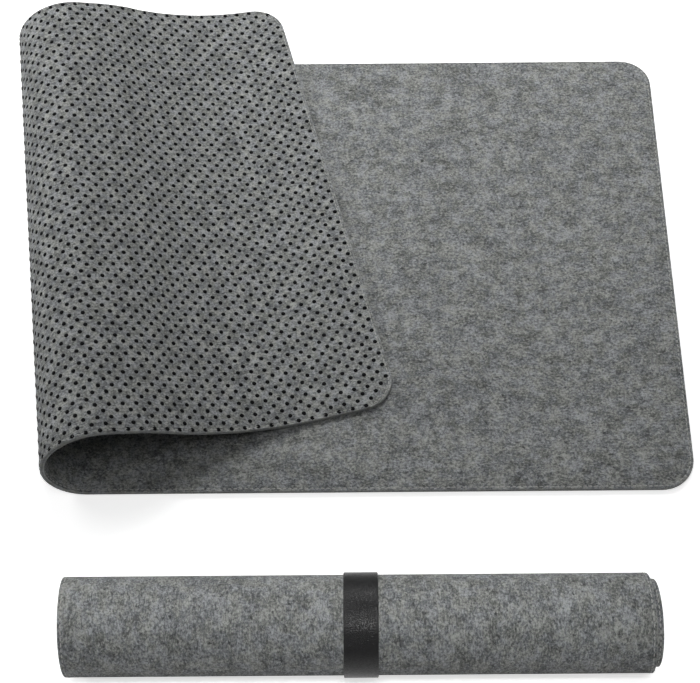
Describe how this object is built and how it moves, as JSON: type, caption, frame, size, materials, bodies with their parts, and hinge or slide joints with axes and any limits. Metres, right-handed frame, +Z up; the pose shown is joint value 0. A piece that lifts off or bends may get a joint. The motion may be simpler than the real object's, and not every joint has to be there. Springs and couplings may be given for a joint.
{
  "type": "felt desk pad",
  "caption": "Two-ply felt desk pad with grip dots underneath, lying open with one end turned over, beside the same pad rolled up in a leather band.",
  "frame": {"origin": "centre of the open pad's underside as it lies flat, on the desk", "axes": "+X along the pad's length away from the turned-over end, +Y towards the far long edge, +Z up"},
  "size_m": [0.5275, 0.607, 0.0698],
  "materials": {
    "face_felt": "grey heather wool-look felt, matt, fibrous",
    "under_felt": "grey heather felt, matt, fibrous",
    "grip_dots": "black printed silicone dots, satin",
    "band_leather": "black smooth-grain leather, semi-gloss"
  },
  "bodies": {
    "base": {"base_face_felt": "face_felt", "base_under_felt": "under_felt", "base_grip_dots": "grip_dots"},
    "loop_1": {"loop_1_face_felt": "face_felt", "loop_1_under_felt": "under_felt", "loop_1_grip_dots": "grip_dots"},
    "loop_2": {"loop_2_face_felt": "face_felt", "loop_2_under_felt": "under_felt", "loop_2_grip_dots": "grip_dots"},
    "loop_3": {"loop_3_face_felt": "face_felt", "loop_3_under_felt": "under_felt", "loop_3_grip_dots": "grip_dots"},
    "loop_4": {"loop_4_face_felt": "face_felt", "loop_4_under_felt": "under_felt", "loop_4_grip_dots": "grip_dots"},
    "loop_5": {"loop_5_face_felt": "face_felt", "loop_5_under_felt": "under_felt", "loop_5_grip_dots": "grip_dots"},
    "loop_6": {"loop_6_face_felt": "face_felt", "loop_6_under_felt": "under_felt", "loop_6_grip_dots": "grip_dots"},
    "loop_7": {"loop_7_face_felt": "face_felt", "loop_7_under_felt": "under_felt", "loop_7_grip_dots": "grip_dots"},
    "loop_8": {"loop_8_face_felt": "face_felt", "loop_8_under_felt": "under_felt", "loop_8_grip_dots": "grip_dots"},
    "loop_9": {"loop_9_face_felt": "face_felt", "loop_9_under_felt": "under_felt", "loop_9_grip_dots": "grip_dots"},
    "drop": {"drop_face_felt": "face_felt", "drop_under_felt": "under_felt", "drop_grip_dots": "grip_dots"},
    "sweep_1": {"sweep_1_face_felt": "face_felt", "sweep_1_under_felt": "under_felt", "sweep_1_grip_dots": "grip_dots"},
    "sweep_2": {"sweep_2_face_felt": "face_felt", "sweep_2_under_felt": "under_felt", "sweep_2_grip_dots": "grip_dots"},
    "flap": {"flap_face_felt": "face_felt", "flap_under_felt": "under_felt", "flap_grip_dots": "grip_dots"},
    "roll": {"roll_face_felt": "face_felt", "roll_under_felt": "under_felt", "roll_grip_dots": "grip_dots"},
    "band": {"band_strap": "band_leather"}
  },
  "joints": [
    {"name": "unfold_1", "type": "hinge", "parent": "base", "child": "loop_1", "pos_m": [-0.07828, 0, 0], "axis": [0.1236, -0.9923, 0], "range_deg": [0, 26.4]},
    {"name": "unfold_2", "type": "hinge", "parent": "loop_1", "child": "loop_2", "pos_m": [-0.09054, -0.00153, 0.00614], "axis": [0.1236, -0.9923, 0], "range_deg": [0, 25.42]},
    {"name": "unfold_3", "type": "hinge", "parent": "loop_2", "child": "loop_3", "pos_m": [-0.09901, -0.00258, 0.01698], "axis": [0.1236, -0.9923, 0], "range_deg": [0, 24.43]},
    {"name": "unfold_4", "type": "hinge", "parent": "loop_3", "child": "loop_4", "pos_m": [-0.10227, -0.00299, 0.03039], "axis": [0.1236, -0.9923, 0], "range_deg": [0, 23.44]},
    {"name": "unfold_5", "type": "hinge", "parent": "loop_4", "child": "loop_5", "pos_m": [-0.09997, -0.0027, 0.04399], "axis": [0.1236, -0.9923, 0], "range_deg": [0, 22.45]},
    {"name": "unfold_6", "type": "hinge", "parent": "loop_5", "child": "loop_6", "pos_m": [-0.09268, -0.00179, 0.05568], "axis": [0.1236, -0.9923, 0], "range_deg": [0, 21.47]},
    {"name": "unfold_7", "type": "hinge", "parent": "loop_6", "child": "loop_7", "pos_m": [-0.08166, -0.00042, 0.06387], "axis": [0.1236, -0.9923, 0], "range_deg": [0, 20.48]},
    {"name": "unfold_8", "type": "hinge", "parent": "loop_7", "child": "loop_8", "pos_m": [-0.06849, 0.00122, 0.06766], "axis": [0.1236, -0.9923, 0], "range_deg": [0, 19.49]},
    {"name": "unfold_9", "type": "hinge", "parent": "loop_8", "child": "loop_9", "pos_m": [-0.05483, 0.00292, 0.0668], "axis": [0.1236, -0.9923, 0], "range_deg": [0, 18.5]},
    {"name": "unfold_10", "type": "hinge", "parent": "loop_9", "child": "drop", "pos_m": [-0.01859, 0.00743, 0.05201], "axis": [0.1236, -0.9923, 0], "range_deg": [0, 12.7]},
    {"name": "unfold_11", "type": "hinge", "parent": "drop", "child": "sweep_1", "pos_m": [0.00926, 0.0109, 0.03254], "axis": [0.1236, -0.9923, 0], "range_deg": [-11.59, 0]},
    {"name": "unfold_12", "type": "hinge", "parent": "sweep_1", "child": "sweep_2", "pos_m": [0.04648, 0.01554, 0.01649], "axis": [0.1236, -0.9923, 0], "range_deg": [-11.59, 0]},
    {"name": "unfold_13", "type": "hinge", "parent": "sweep_2", "child": "flap", "pos_m": [0.08615, 0.02048, 0.0083], "axis": [0.1236, -0.9923, 0], "range_deg": [-11.59, 0]},
    {"name": "roll_lift", "type": "slide", "parent": "base", "child": "roll", "axis": [0, 0, 1], "range_m": [0, 0.1]},
    {"name": "band_slide", "type": "slide", "parent": "roll", "child": "band", "axis": [1, 0, 0], "range_m": [-0.18, 0.17]}
  ],
  "couplings": [
    {"joint": "unfold_2", "follows": "unfold_1", "ratio": 0.96259},
    {"joint": "unfold_3", "follows": "unfold_1", "ratio": 0.92519},
    {"joint": "unfold_4", "follows": "unfold_1", "ratio": 0.88778},
    {"joint": "unfold_5", "follows": "unfold_1", "ratio": 0.85038},
    {"joint": "unfold_6", "follows": "unfold_1", "ratio": 0.81297},
    {"joint": "unfold_7", "follows": "unfold_1", "ratio": 0.77557},
    {"joint": "unfold_8", "follows": "unfold_1", "ratio": 0.73816},
    {"joint": "unfold_9", "follows": "unfold_1", "ratio": 0.70076},
    {"joint": "unfold_10", "follows": "unfold_1", "ratio": 0.48106},
    {"joint": "unfold_11", "follows": "unfold_1", "ratio": -0.43876},
    {"joint": "unfold_12", "follows": "unfold_1", "ratio": -0.43876},
    {"joint": "unfold_13", "follows": "unfold_1", "ratio": -0.43876}
  ]
}
